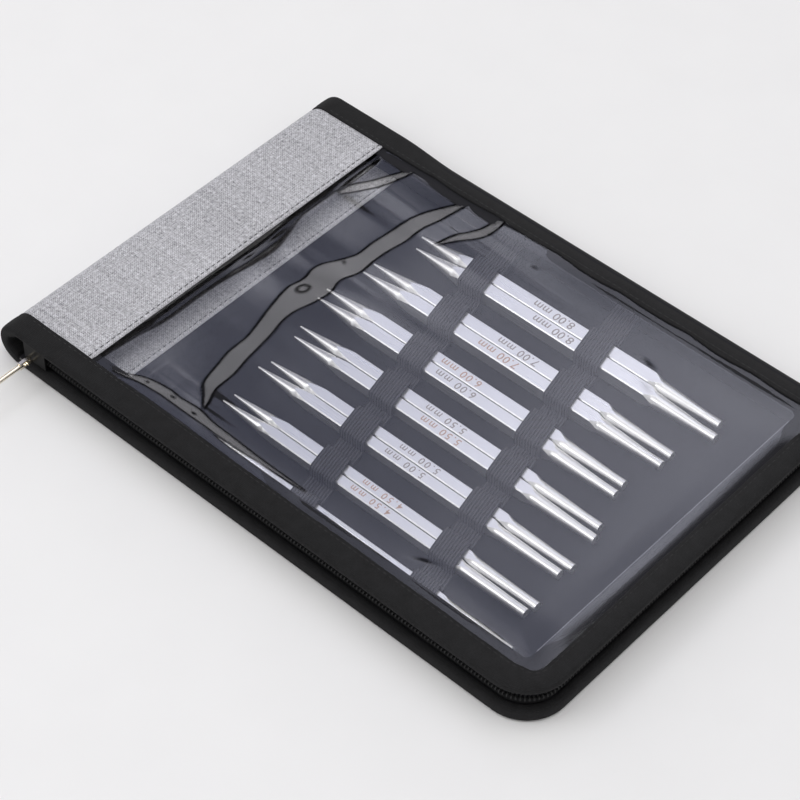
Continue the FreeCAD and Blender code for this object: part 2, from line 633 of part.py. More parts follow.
os.makedirs("parts", exist_ok=True)
for piece in pieces:
    piece.Shape.exportStep(f"parts/{piece.Label}.step")

quarter = value_of(SPINE_RADIUS) * math.pi / 4
fold_axis_x = value_of(SPINE_X) - quarter
fold_axis_z = value_of(SPINE_RADIUS) - quarter
print("case", value_of(CASE_LENGTH), value_of(CASE_WIDTH), value_of(CASE_HEIGHT))
print("fold axes x", fold_axis_x, "z", fold_axis_z, value_of(CASE_HEIGHT) - fold_axis_z)
print("pull pin", value_of(SLIDER_X), value_of(PIN_Y), value_of(ZIP_MIDDLE))
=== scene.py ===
import math

import bmesh
import bpy
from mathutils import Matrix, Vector, noise


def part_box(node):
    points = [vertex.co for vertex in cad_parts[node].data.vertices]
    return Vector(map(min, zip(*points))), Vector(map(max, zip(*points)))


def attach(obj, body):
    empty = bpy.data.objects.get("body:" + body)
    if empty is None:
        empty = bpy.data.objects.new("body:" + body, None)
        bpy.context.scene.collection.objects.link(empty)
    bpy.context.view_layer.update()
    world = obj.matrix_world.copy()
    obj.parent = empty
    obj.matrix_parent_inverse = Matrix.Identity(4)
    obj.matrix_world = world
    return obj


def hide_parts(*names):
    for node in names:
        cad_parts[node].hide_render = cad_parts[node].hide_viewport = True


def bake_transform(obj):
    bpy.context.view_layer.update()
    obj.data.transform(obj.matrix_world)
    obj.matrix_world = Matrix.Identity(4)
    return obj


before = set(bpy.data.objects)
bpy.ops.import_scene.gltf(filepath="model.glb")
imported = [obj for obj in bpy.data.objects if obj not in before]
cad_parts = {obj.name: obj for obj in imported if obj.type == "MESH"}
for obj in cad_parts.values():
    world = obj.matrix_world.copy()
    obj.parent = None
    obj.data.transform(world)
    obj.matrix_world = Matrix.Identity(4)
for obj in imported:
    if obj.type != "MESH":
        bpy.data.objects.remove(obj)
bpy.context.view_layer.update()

# Back cover. The underside is one panel of matte black canvas with two rounded
# corners, caught under the binding tape on its three free sides.
MM = 0.001
END_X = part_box("back_binding_face")[1].x
SIDE_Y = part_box("back_binding_face")[1].y
FOLD_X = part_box("back_binding_face")[0].x
CORNER = 15 * MM
BINDING_WIDTH = 9 * MM
COVER_EDGE = 1 * MM
SHARP_EDGE = math.radians(50)


class Thread:
    """A socket in a node tree that adds its own Math nodes when it is reckoned with."""

    def __init__(self, tree, socket=None):
        self.tree = tree
        self.socket = socket

    def fill(self, made, sockets):
        for name, value in sockets.items():
            if isinstance(value, Thread):
                self.tree.links.new(value.socket, made.inputs[name])
            else:
                made.inputs[name].default_value = value

    def node(self, kind, settings=None, sockets=None, out=0):
        made = self.tree.nodes.new(kind)
        for name, value in (settings or {}).items():
            setattr(made, name, value)
        self.fill(made, sockets or {})
        if isinstance(out, tuple):
            return [Thread(self.tree, made.outputs[place]) for place in out]
        return Thread(self.tree, made.outputs[out])

    def math(self, operation, first, second=0.0):
        return self.node("ShaderNodeMath", {"operation": operation}, {0: first, 1: second})

    def __add__(self, other):
        return self.math("ADD", self, other)

    __radd__ = __add__

    def __sub__(self, other):
        return self.math("SUBTRACT", self, other)

    def __mul__(self, other):
        return self.math("MULTIPLY", self, other)

    __rmul__ = __mul__

    def __pow__(self, other):
        return self.math("POWER", self, other)

    def __abs__(self):
        return self.math("ABSOLUTE", self)

    def wave(self):
        return self.math("SINE", self)

    def whole(self):
        return self.math("FLOOR", self)

    def clamp(self):
        return self.node("ShaderNodeClamp", None, {"Value": self})

    def tint(self, first, second):
        """A colour between two, by this value."""
        return self.node("ShaderNodeMix", {"data_type": "RGBA"}, {0: self, 6: first, 7: second}, 2)

    def bump(self, distance, strength):
        """The normal of a surface with this height."""
        return self.node("ShaderNodeBump", None, {"Height": self, "Distance": distance, "Strength": strength})

    def on_cloth(self):
        """Places on the cloth, from the UV map that sew makes."""
        return self.node("ShaderNodeUVMap", {"uv_map": "cloth"})

    def on_body(self):
        """Places on the piece, in its own coordinates."""
        return self.node("ShaderNodeTexCoord", out=3)

    def split(self):
        return self.node("ShaderNodeSeparateXYZ", None, {0: self}, (0, 1))

    def noise(self, scale, detail):
        """Noise over these places."""
        return self.node("ShaderNodeTexNoise", None, {"Vector": self, "Scale": scale, "Detail": detail})


def new_finish(name):
    finish = bpy.data.materials.new(name)
    finish.use_nodes = True
    return finish, Thread(finish.node_tree), finish.node_tree.nodes["Principled BSDF"]


def cloth_finish(name, low, high, pitch, contrast, relief, rough):
    """A plain woven cloth: threads cross over and under, each a little lighter or darker than the next."""
    finish, flow, shader = new_finish(name)
    place = flow.on_cloth()
    u, v = place.split()
    crossing = (u * (math.pi / pitch)).wave() * (v * (math.pi / pitch)).wave()
    one_line = {"noise_dimensions": "1D"}
    warp = flow.node("ShaderNodeTexWhiteNoise", one_line, {"W": (u * (1 / pitch)).whole()})
    weft = flow.node("ShaderNodeTexWhiteNoise", one_line, {"W": (v * (1 / pitch)).whole() + 700.5})
    slub = place.noise(0.35 / pitch, 3.0)
    patch = place.noise(30.0, 2.0)
    dashes = []
    for stretch in ((1.3, 0.28, 1), (0.28, 1.3, 1)):
        drawn = flow.node("ShaderNodeVectorMath", {"operation": "MULTIPLY"}, {0: place, 1: stretch})
        dashes.append(drawn.noise(1 / pitch, 2.0))
    shade = 0.5 + contrast * (0.28 * crossing + 0.16 * (warp - 0.5) + 0.16 * (weft - 0.5))
    shade = shade + 1.3 * contrast * (dashes[0] + dashes[1] - 1.0)
    shade = shade + 0.25 * contrast * (slub - 0.5) + 0.2 * (patch - 0.5)
    flow.fill(shader, {
        "Base Color": shade.clamp().tint(low, high),
        "Roughness": rough + 0.12 * (slub - 0.5),
        "Specular IOR Level": 0.25,
        "Normal": (abs(crossing) + 0.5 * slub).bump(relief, 0.8)})
    return finish


def ease(value, low, high):
    part = min(1.0, max(0.0, (value - low) / (high - low)))
    return part * part * (3 - 2 * part)


def inset_of(x, y):
    """How far a point of the plan lies inside the folio's outline."""
    over_x = x - (END_X - CORNER)
    over_y = abs(y) - (SIDE_Y - CORNER)
    if over_x > 0 and over_y > 0:
        return CORNER - math.hypot(over_x, over_y)
    return CORNER - max(over_x, over_y)


def between(first, last, count):
    return [first + (last - first) * place / count for place in range(count + 1)]


def cut_panel(stations, lines, corner, height):
    """Rows of a panel with two rounded corners at its free end, lying at height(x, y)."""
    right, half = stations[-1], lines[-1]
    rows = []
    for x in stations:
        row = []
        for y in lines:
            over_x = x - (right - corner)
            over_y = abs(y) - (half - corner)
            across, down = x, y
            if over_x > 0 and over_y > 0:
                pull = max(over_x, over_y) / math.hypot(over_x, over_y)
                across = right - corner + over_x * pull
                down = math.copysign(half - corner + over_y * pull, y)
            row.append((Vector((across, down, height(across, down))), x, y))
        rows.append(row)
    return rows


def back_panel(edge, height):
    """Rows of a panel of the back half, cut this far inside its outline."""
    return cut_panel(between(FOLD_X, END_X - edge, 88), between(edge - SIDE_Y, SIDE_Y - edge, 61),
                     CORNER - edge, height)


def put(name, data):
    """Sets a new object in the scene."""
    piece = bpy.data.objects.new(name, data)
    bpy.context.scene.collection.objects.link(piece)
    return piece


def plain_mesh(piece):
    """The mesh that a piece comes to, with its modifiers."""
    return bpy.data.meshes.new_from_object(piece.evaluated_get(bpy.context.evaluated_depsgraph_get()))


def settle(piece):
    """Turns a piece and its modifiers into a plain mesh."""
    made = plain_mesh(piece)
    piece.modifiers.clear()
    piece.data = made


def sew(name, rows, finish, thick=0.0, closed=False, flip=False):
    """A piece of cloth from rows of (point, along, across), with its own UV map in metres."""
    count = len(rows[0]) - (1 if closed else 0)
    quads = [
        ((i, j), (i + 1, j), (i + 1, j + 1), (i, j + 1))
        for i in range(len(rows) - 1)
        for j in range(len(rows[0]) - 1)
    ]
    if closed:
        quads.append(tuple((0, j) for j in range(count)))
        quads.append(tuple((len(rows) - 1, j) for j in reversed(range(count))))
    if flip:
        quads = [tuple(reversed(quad)) for quad in quads]
    mesh = bpy.data.meshes.new(name)
    mesh.from_pydata(
        [point for row in rows for point, along, across in row[:count]],
        [],
        [[i * count + j % count for i, j in quad] for quad in quads],
    )
    chart = mesh.uv_layers.new(name="cloth")
    for spot, (i, j) in zip(chart.uv, (corner for quad in quads for corner in quad)):
        spot.vector = rows[i][j][1:]
    if closed:
        work = bmesh.new()
        work.from_mesh(mesh)
        bmesh.ops.recalc_face_normals(work, faces=work.faces)
        work.to_mesh(mesh)
        work.free()
    piece = put(name, mesh)
    if thick:
        body = piece.modifiers.new("cloth thickness", "SOLIDIFY")
        body.thickness = thick
        body.offset = -1
        settle(piece)
    piece.data.materials.append(finish)
    piece.data.shade_smooth()
    piece.data.set_sharp_from_angle(angle=SHARP_EDGE)
    return piece


def cover_height(x, y):
    """The cover lies on the table and rises where the binding goes under it."""
    return (0.75 - 0.65 * ease(inset_of(x, y), BINDING_WIDTH, BINDING_WIDTH + 1.4 * MM)) * MM


canvas = cloth_finish("black_canvas", (0.006, 0.006, 0.007, 1), (0.022, 0.022, 0.025, 1),
                      pitch=0.5 * MM, contrast=0.9, relief=0.00012, rough=0.86)
back_cloth = sew("back_cloth", back_panel(COVER_EDGE, cover_height), canvas, thick=0.5 * MM, flip=True)
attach(back_cloth, "back")
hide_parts("back_cover")

# Stiffening board. A plain pressed-fibre board lies between the cover and the
# lining, cut to the same outline, and is seen only at the spine edge.
board, flow, shader = new_finish("pressed_board")
place = flow.on_body()
fibre = place.noise(900.0, 4.0)
broad = place.noise(60.0, 2.0)
flow.fill(shader, {
    "Base Color": (0.6 * fibre + 0.4 * broad).tint((0.09, 0.088, 0.085, 1), (0.26, 0.255, 0.245, 1)),
    "Roughness": 0.8 + 0.15 * (fibre - 0.5),
    "Normal": fibre.bump(0.0001, 0.5)})


def dress(node, finish):
    """Gives a CAD node its finish."""
    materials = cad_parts[node].data.materials
    materials.clear()
    materials.append(finish)


dress("back_board", board)

# Lining. A slate-grey panel of fine cloth covers the board, slightly uneven
# where it is only held at its edges; the needles lie on it.
LINING_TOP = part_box("lining_panel")[1].z
LINING_EDGE = 0.9 * MM
slate = cloth_finish("slate_lining", (0.008, 0.008, 0.0105, 1), (0.014, 0.0138, 0.018, 1),
                     pitch=0.34 * MM, contrast=0.3, relief=0.00003, rough=0.8)


def lining_height(x, y):
    swell = noise.noise(Vector((x * 22, y * 22, 0.3)))
    return LINING_TOP - 0.10 * MM + 0.09 * MM * swell


lining_cloth = sew("lining_cloth", back_panel(LINING_EDGE, lining_height), slate, thick=0.5 * MM)
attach(lining_cloth, "back")
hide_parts("lining_panel")

# Spine cloth. One length of heather-grey plain weave goes round the rounded fold:
# its outer layer laps over the window and its inner layer is hemmed onto the lining.
TOP_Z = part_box("front_binding_face")[1].z
SPINE_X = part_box("spine_cover")[1].x
SPINE_RADIUS = TOP_Z / 2
HEM_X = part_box("front_spine_strip")[1].x
INNER_HEM_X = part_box("inner_spine_strip")[1].x
WEAVE_DOWN = 0.14 * MM
WEAVE_THICK = 0.45 * MM
WEAVE_HALF = SIDE_Y - 3.4 * MM
OUTER_RADIUS = SPINE_RADIUS - WEAVE_DOWN
INNER_RADIUS = SPINE_RADIUS - 2.8 * MM
UPPER_INNER_Z = 13.95 * MM
heather = cloth_finish("heather_weave", (0.15, 0.15, 0.165, 1), (0.80, 0.80, 0.85, 1),
                       pitch=0.46 * MM, contrast=0.85, relief=0.00016, rough=0.85)
# Painted light: a lighter copy of the heather for the inner strip, brightened to stand for the light it misses in the
# shade of the upper strip.
lit_heather = cloth_finish("lit_heather_weave", (0.24, 0.24, 0.26, 1), (1.0, 1.0, 1.0, 1),
                             pitch=0.46 * MM, contrast=0.9, relief=0.00016, rough=0.85)


def measured(points):
    """How far along a path each of its points lies."""
    runs = [0.0]
    for first, second in zip(points, points[1:]):
        runs.append(runs[-1] + math.dist(first, second))
    return runs


def round_fold(radius, side, first, last, count):
    """Points round the spine's fold, above its middle (side 1) or below it (side -1)."""
    return [(SPINE_X - radius * math.sin(turn), SPINE_RADIUS + side * radius * math.cos(turn))
            for turn in between(first, last, count)]


def fold_rows(points, half, step, drop=None):
    """Rows of cloth along a path of (x, z) points, with the width along y; drop(y) sinks it to the left
    of the way the path runs, into the case."""
    rows = []
    for place, ((x, z), run) in enumerate(zip(points, measured(points))):
        behind = points[max(place - 1, 0)]
        ahead = points[min(place + 1, len(points) - 1)]
        way_x, way_z = ahead[0] - behind[0], ahead[1] - behind[1]
        size = math.hypot(way_x, way_z)
        row = []
        for y in between(-half, half, round(2 * half / step)):
            sink = drop(y) if drop else 0.0
            row.append((Vector((x - way_z / size * sink, y, z + way_x / size * sink)), run, y))
        rows.append(row)
    return rows


def under_binding(y):
    edge = SIDE_Y - BINDING_WIDTH
    return 0.62 * MM * ease(abs(y), edge - 0.9 * MM, edge + 0.3 * MM)


outer_strip = [(HEM_X + 0.02 * MM, TOP_Z - 0.62 * MM), (HEM_X + 0.05 * MM, TOP_Z - 0.4 * MM),
               (HEM_X - 0.08 * MM, TOP_Z - 0.22 * MM), (HEM_X - 0.4 * MM, TOP_Z - WEAVE_DOWN)]
outer_strip += [(x, TOP_Z - WEAVE_DOWN) for x in between(HEM_X - 1.2 * MM, SPINE_X, 14)]
outer_strip += round_fold(OUTER_RADIUS, 1, math.radians(6), math.pi / 2, 14)
spine_weave_upper = sew("spine_weave_upper", fold_rows(outer_strip, WEAVE_HALF, 1.2 * MM, under_binding),
                        heather, thick=WEAVE_THICK, flip=True)
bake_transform(spine_weave_upper)
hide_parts("front_spine_strip", "spine_cover")

lower_strip = round_fold(OUTER_RADIUS, -1, math.pi / 2, 0.0, 15)
lower_strip += [(SPINE_X + 0.9 * MM, 0.2 * MM), (SPINE_X + 2.0 * MM, 0.55 * MM), (SPINE_X + 3.4 * MM, 0.78 * MM)]
spine_weave_lower = sew("spine_weave_lower", fold_rows(lower_strip, WEAVE_HALF, 1.2 * MM, under_binding),
                        heather, thick=WEAVE_THICK, flip=True)
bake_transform(spine_weave_lower)
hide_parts("spine_cover")

inner_lower = [(INNER_HEM_X, LINING_TOP + 0.02 * MM), (INNER_HEM_X + 0.04 * MM, LINING_TOP + 0.3 * MM),
               (INNER_HEM_X - 0.15 * MM, LINING_TOP + 0.52 * MM), (INNER_HEM_X - 0.6 * MM, LINING_TOP + 0.58 * MM)]
inner_lower += [(x, LINING_TOP + 0.55 * MM) for x in between(INNER_HEM_X - 1.6 * MM, FOLD_X + 1 * MM, 12)]
inner_lower += round_fold(INNER_RADIUS, -1, math.radians(32), math.pi / 2, 10)
spine_inner_lower = sew("spine_inner_lower", fold_rows(inner_lower, 71.4 * MM, 2.2 * MM),
                        lit_heather, thick=WEAVE_THICK, flip=True)
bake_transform(spine_inner_lower)
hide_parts("inner_spine_strip", "spine_lining")

inner_upper = round_fold(INNER_RADIUS, 1, math.pi / 2, math.radians(24), 10)
inner_upper += [(FOLD_X + 1.5 * MM, UPPER_INNER_Z - 0.5 * MM), (FOLD_X + 4 * MM, UPPER_INNER_Z - 0.1 * MM)]
inner_upper += [(x, UPPER_INNER_Z) for x in between(FOLD_X + 6.5 * MM, HEM_X - 2.2 * MM, 8)]
inner_upper += [(HEM_X - 1.9 * MM, UPPER_INNER_Z + 0.15 * MM), (HEM_X - 1.85 * MM, UPPER_INNER_Z + 0.45 * MM)]
spine_inner_upper = sew("spine_inner_upper", fold_rows(inner_upper, 64.8 * MM, 2.2 * MM),
                        heather, thick=0.4 * MM, flip=True)
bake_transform(spine_inner_upper)
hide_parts("front_strip_lining", "spine_lining")

# Needles. Seven pairs of square aluminium tips with a satin finish drawn out along
# their length, held by the elastic bands and left as the CAD made them.
PAIRS = range(1, 8)
SIDES = ("far", "near")
needle_metal, flow, shader = new_finish("satin_aluminium")
place = flow.on_body()
drawn = flow.node("ShaderNodeMapping", None, {"Vector": place, "Scale": (25.0, 2600.0, 2600.0)})
grain = flow.node("ShaderNodeTexNoise", None, {"Vector": drawn, "Scale": 1.0, "Detail": 4.0, "Roughness": 0.6})
cloudy = place.noise(55.0, 2.0)
flow.fill(shader, {
    "Base Color": (0.6 * grain + 0.4 * cloudy).tint((0.77, 0.77, 0.75, 1), (0.90, 0.90, 0.875, 1)),
    "Roughness": 0.30 + 0.16 * (grain - 0.5) + 0.06 * (cloudy - 0.5),
    "Metallic": 0.92,
    "Normal": grain.bump(0.00002, 0.5)})
for number in PAIRS:
    for side in SIDES:
        dress(f"needle_{number}_{side}", needle_metal)

# Size marks. Each needle of the first six pairs carries its size in faint print,
# some in copper and some in grey, read from the tail.
MARKS = {1: ("8.00 mm", 13.8, 17.9), 2: ("7.00 mm", 15.9, 11.8), 3: ("6.00 mm", 8.3, 10.2),
         4: ("5.50 mm", 17.9, 19.9), 5: ("5.00 mm", 22.9, 20.6), 6: ("4.50 mm", 24.0, 22.8)}
COPPER_MARKS = ("needle_2_near", "needle_3_far", "needle_4_near", "needle_6_far", "needle_6_near")
LETTER_SHARE = 0.88
LETTER_SPACE = 1.26 * 4.4 * MM
INK_SPREAD = 0.03 * MM
INK_LIFT = 0.015 * MM


def speckled_finish(name, low, high, scale, detail, shine=0.5):
    """A plain finish with fine specks, for print, nylon, thread and enamel."""
    finish, flow, shader = new_finish(name)
    speck = flow.on_body().noise(scale, detail)
    flow.fill(shader, {
        "Base Color": speck.tint(low, high),
        "Roughness": 0.55 + 0.2 * (speck - 0.5),
        "Specular IOR Level": shine})
    return finish


copper_print = speckled_finish("copper_print", (0.40, 0.23, 0.15, 1), (0.62, 0.45, 0.36, 1), 1400.0, 3.0)
grey_print = speckled_finish("grey_print", (0.22, 0.19, 0.17, 1), (0.44, 0.40, 0.37, 1), 1400.0, 3.0)
for number, (words, *centres) in MARKS.items():
    for side, centre_x in zip(SIDES, centres):
        needle = f"needle_{number}_{side}"
        low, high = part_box(needle)
        width = high.y - low.y
        letters = bpy.data.curves.new(f"mark_{number}_{side}", "FONT")
        letters.body = words
        letters.size = LETTER_SHARE * width
        letters.space_character = LETTER_SPACE / width
        letters.offset = INK_SPREAD
        letters.align_x = "CENTER"
        letters.align_y = "CENTER"
        source = put("letters", letters)
        shape = plain_mesh(source)
        bpy.data.objects.remove(source)
        for point in shape.vertices:
            point.co = (centre_x * MM - point.co.x, (low.y + high.y) / 2 - point.co.y, high.z + INK_LIFT)
        mark = put(f"size_mark_{number}_{side}", shape)
        shape.materials.clear()
        shape.materials.append(copper_print if needle in COPPER_MARKS else grey_print)
        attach(mark, needle)

# Elastic bands. Two slanted lengths of 10 mm ribbed elastic lie across the lining,
# sewn down between the pairs so that each pair has its own snug loop.
BAND_WIDTH = 9.6 * MM
BAND_THICK = 0.7 * MM
BAND_END = 72.9 * MM
SLANT = math.radians(12.3)
FOOT_Z = LINING_TOP + BAND_THICK
LOOP_ASIDE = 0.22 * MM + BAND_THICK
LOOP_ABOVE = 0.18 * MM + BAND_THICK
RIB_PITCH = 1.07 * MM
KNIT_PITCH = 0.7 * MM
elastic, flow, shader = new_finish("ribbed_elastic")
place = flow.on_cloth()
u, v = place.split()
stray = place.noise(160.0, 2.0)
ribs = (v * (2 * math.pi / RIB_PITCH) + 1.6 * (stray - 0.5)).wave()
knit = (u * (2 * math.pi / KNIT_PITCH) + 1.5 * ribs).wave()
fuzz = place.noise(1500.0, 3.0)
shade = (0.45 + 0.55 * ribs + 0.08 * knit + 0.4 * (fuzz - 0.5)).clamp()
flow.fill(shader, {
    "Base Color": shade.tint((0.002, 0.002, 0.003, 1), (0.050, 0.049, 0.058, 1)),
    "Roughness": 0.78 + 0.2 * (fuzz - 0.5),
    "Normal": (ribs + 0.3 * knit).bump(0.00012, 1.0)})


def soften(points, rounds):
    """Cuts a path's corners, keeping its two ends."""
    for turn in range(rounds):
        cut = [points[0]]
        for first, second in zip(points, points[1:]):
            cut.append(tuple(0.75 * a + 0.25 * b for a, b in zip(first, second)))
            cut.append(tuple(0.25 * a + 0.75 * b for a, b in zip(first, second)))
        points = cut + [points[-1]]
    return points


loop_path = [(BAND_END, FOOT_Z)]
for number in PAIRS:
    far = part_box(f"needle_{number}_far")[1].y + LOOP_ASIDE
    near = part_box(f"needle_{number}_near")[0].y - LOOP_ASIDE
    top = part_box(f"needle_{number}_far")[1].z + LOOP_ABOVE
    loop_path += [(far + 1.3 * MM, FOOT_Z), (far + 0.15 * MM, FOOT_Z + 0.1 * MM), (far, FOOT_Z + 0.8 * MM),
                  (far, top - 0.5 * MM), (far - 0.5 * MM, top), (near + 0.5 * MM, top), (near, top - 0.5 * MM),
                  (near, FOOT_Z + 0.8 * MM), (near - 0.15 * MM, FOOT_Z + 0.1 * MM), (near - 1.3 * MM, FOOT_Z)]
loop_path = soften(loop_path + [(-BAND_END, FOOT_Z)], 2)
for name, node, centre_x in (("tail_band", "tail_elastic_band", 44.0 * MM),
                             ("tip_band", "tip_elastic_band", -5.8 * MM)):
    rows = []
    for (y, z), run in zip(loop_path, measured(loop_path)):
        rows.append([
            (Vector((centre_x - y * math.tan(SLANT) + side / math.cos(SLANT), y, z)), run, side)
            for side in between(-BAND_WIDTH / 2, BAND_WIDTH / 2, 12)])
    band = sew(name, rows, elastic, thick=BAND_THICK * 0.95, flip=True)
    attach(band, "back")
    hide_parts(node)

# Binding. A matte black tape is folded over each cover's edge on three sides and runs on
# round the ends of the spine: wide on the face, narrow inside save in the fold, sewn through.
binding, flow, shader = new_finish("black_binding")
place = flow.on_cloth()
u, v = place.split()
rows_across = (v * (2 * math.pi / (0.55 * MM)) + 1.2 * (u * (2 * math.pi / (0.9 * MM))).wave()).wave()
mottle = place.noise(260.0, 4.0)
lint = place.noise(1900.0, 3.0)
# Painted sheen: the tape's colour is made lighter towards the far side and the free end, where those sides catch more
# light.
side_x, side_y = flow.on_body().split()
painted_side_sheen = flow.node("ShaderNodeMapRange", None, {"Value": side_y + 0.75 * side_x, 1: -0.06, 2: 0.07, 3: 0.0, 4: 1.0})
shade = (0.30 + 0.18 * painted_side_sheen + 0.1 * rows_across + 0.7 * (mottle - 0.5) + 0.8 * (lint - 0.5)).clamp()
flow.fill(shader, {
    "Base Color": shade.tint((0.0025, 0.0025, 0.003, 1), (0.025, 0.025, 0.027, 1)),
    "Roughness": 0.82 + 0.2 * (mottle - 0.5),
    "Specular IOR Level": 0.22,
    "Normal": (0.5 * rows_across + mottle + lint).bump(0.00010, 0.8)})


def rim(up, left, curl, step):
    """Places along the three free sides of a cover, from the near spine end to the far one:
    the outer corner of its edge, the way inwards, the outward normal and how far it has come."""
    face_z = TOP_Z if up > 0 else 0.0
    flat = Vector((0, 0, up))
    straight = END_X - CORNER
    reach = SIDE_Y - CORNER
    steps = round((straight - left) / step)

    def on_curl(turn, side):
        out = Vector((-math.sin(turn), 0, up * math.cos(turn)))
        return Vector((SPINE_X, side * SIDE_Y, SPINE_RADIUS)) + SPINE_RADIUS * out, Vector((0, -side, 0)), out

    def on_corner(turn, side):
        way = Vector((math.cos(turn), math.sin(turn), 0))
        return Vector((straight, side * reach, face_z)) + CORNER * way, -way, flat

    places = [on_curl(turn, -1) for turn in between(math.pi / 2, 0.0, 10)[:-1]] if curl else []
    places += [(Vector((x, -SIDE_Y, face_z)), Vector((0, 1, 0)), flat) for x in between(left, straight, steps)]
    places += [on_corner(turn, -1) for turn in between(-math.pi / 2, 0.0, 12)[1:]]
    places += [(Vector((END_X, y, face_z)), Vector((-1, 0, 0)), flat)
               for y in between(-reach, reach, round(2 * reach / step))[1:]]
    places += [on_corner(turn, 1) for turn in between(0.0, math.pi / 2, 12)[1:]]
    places += [(Vector((x, SIDE_Y, face_z)), Vector((0, -1, 0)), flat) for x in between(straight, left, steps)[1:]]
    if curl:
        places += [on_curl(turn, 1) for turn in between(0.0, math.pi / 2, 10)[1:]]
    runs = measured([corner for corner, inward, normal in places])
    return [(*place, run) for place, run in zip(places, runs)]


def along_rim(places, section):
    """Rows of a section of (inset, depth) points carried round the rim; section(run, corner) gives the points."""
    rows = []
    for corner, inward, normal, run in places:
        points = section(run, corner)
        rows.append([(corner + inward * inset - normal * depth, run, across)
                     for (inset, depth), across in zip(points, measured(points))])
    return rows


def end_trim(corner):
    """How much narrower the front tape's face is on the free end than on the long sides."""
    return 2 * MM * ease(corner.x, END_X - 9 * MM, END_X - 1 * MM)


def tape_section(full, swell, droop):
    """The folded tape: its face with a soft crown, the rounded edge and a return that is narrow on the
    covers and wide inside the spine's fold. On the far side it droops a little at its outer edge and
    puckers where it is sewn."""
    def section(run, corner):
        turned = ease(SPINE_X - corner.x, -0.5 * MM, 1.0 * MM)
        deep = full + (2.6 * MM - full) * ease(-corner.x, -SPINE_X - 14 * MM, -SPINE_X) + 1.6 * MM * turned
        back = 3.0 * MM + 6.5 * MM * turned
        stray = 0.35 * MM * noise.noise(Vector((run * 70, full * 900, 0.5)))
        crown = swell * (1 + 0.5 * noise.noise(Vector((run * 130, full * 900, 4.5))))
        far = ease(corner.y, 50 * MM, 76 * MM) * ease(corner.x, HEM_X + 2 * MM, HEM_X + 26 * MM)
        pucker = 0.8 * MM * (abs(math.sin(corner.x * math.pi / (27 * MM))) - 0.6)
        wide = BINDING_WIDTH + stray + (far * pucker - end_trim(corner) if droop else 0.0)
        face = [(wide, 0.62 * MM), (wide + 0.03 * MM, 0.36 * MM), (wide - 0.12 * MM, 0.12 * MM),
                (wide - 0.5 * MM, 0.02 * MM), (wide - 1.3 * MM, 0.05 * MM), (wide - 2.6 * MM, -0.5 * crown),
                (0.55 * wide, -crown), (0.35 * wide, -0.6 * crown), (1.9 * MM, 0.02 * MM), (1.1 * MM, 0.14 * MM)]
        edge = [(0.45 * MM, 0.42 * MM), (0.1 * MM, 0.9 * MM), (0.0, deep / 2), (0.1 * MM, deep - 0.9 * MM),
                (0.45 * MM, deep - 0.42 * MM), (1.1 * MM, deep - 0.1 * MM), (1.9 * MM, deep)]
        turn_in = [(back - 0.4 * MM, deep - 0.02 * MM), (back - 0.05 * MM, deep - 0.2 * MM), (back, deep - 0.5 * MM),
                   (back - 0.8 * MM, deep - 0.62 * MM)]
        inner = [(1.2 * MM, deep - 0.7 * MM), (0.8 * MM, deep - 1.05 * MM), (0.72 * MM, deep / 2),
                 (0.8 * MM, 1.05 * MM), (1.2 * MM, 0.72 * MM), (4.0 * MM, 0.63 * MM)]
        return [(inset, depth + far * droop * (1 - inset / (10 * MM)) ** 2)
                for inset, depth in face + edge + turn_in + inner + face[:1]]
    return section


front_rows = along_rim(rim(1, SPINE_X, True, 2.4 * MM), tape_section(3.1 * MM, 0.1 * MM, 2 * MM))
front_binding = sew("front_binding_tape", front_rows, binding, closed=True)
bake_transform(front_binding)
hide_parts("front_binding_face", "front_binding_edge", "front_binding_ledge",
            "near_spine_binding", "far_spine_binding")
back_rows = along_rim(rim(-1, SPINE_X, True, 2.4 * MM), tape_section(5.0 * MM, 0.0, 0.0))
back_binding = sew("back_binding_tape", back_rows, binding, closed=True)
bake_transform(back_binding)
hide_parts("back_binding_face", "back_binding_edge", "back_binding_ledge",
            "near_spine_binding", "far_spine_binding")

# Zip tapes. Two black woven tapes are caught in the bindings by a flat hem and stand
# up and down from them towards each other, each with a coil along its free edge.
ZIP_WALL = 3.4 * MM
HEM_REACH = 9.2 * MM
HEM_TRIM = 4.4 * MM
HEM_BEND = 4.6 * MM
tape_cloth = cloth_finish("zip_tape", (0.004, 0.004, 0.005, 1), (0.018, 0.018, 0.020, 1),
                          pitch=0.4 * MM, contrast=0.9, relief=0.0001, rough=0.8)


def zip_section(hem, edge):
    """A hem that lies flat beside the binding, trimmed short at the free end to clear the needles, and a
    wall that turns towards the other tape."""
    def section(run, corner):
        reach = HEM_REACH - HEM_TRIM * ease(corner.x, END_X - 15 * MM, END_X - 8 * MM)
        return [(reach, hem), ((reach + HEM_BEND) / 2, hem), (HEM_BEND, hem), (3.75 * MM, hem + 0.15 * MM),
                (3.45 * MM, hem + 0.5 * MM), (ZIP_WALL, hem + 1.2 * MM), (ZIP_WALL, edge)]
    return section


for half, up, hem, edge in (("front", 1, 2.0 * MM, 5.3 * MM), ("back", -1, 4.1 * MM, 7.2 * MM)):
    places = rim(up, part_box(f"{half}_zip_hem")[0].x, False, 4 * MM)
    tape = sew(f"{half}_zip_cloth", along_rim(places, zip_section(hem, edge)), tape_cloth, thick=0.4 * MM)
    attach(tape, half)
    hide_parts(f"{half}_zip_hem", f"{half}_zip_tape_near", f"{half}_zip_tape_far", f"{half}_zip_tape_end")

# Zip coils. Each row is a spiral of black nylon wire sewn along its tape's edge, in
# oval turns a little over a millimetre apart.
COIL_PITCH = 1.3 * MM
COIL_HALF = 1 * MM
COIL_START = 0.8 * MM
SLIDER_END = -91.5 * MM
nylon = speckled_finish("coil_nylon", (0.003, 0.003, 0.004, 1), (0.012, 0.012, 0.013, 1), 1200.0, 2.0)


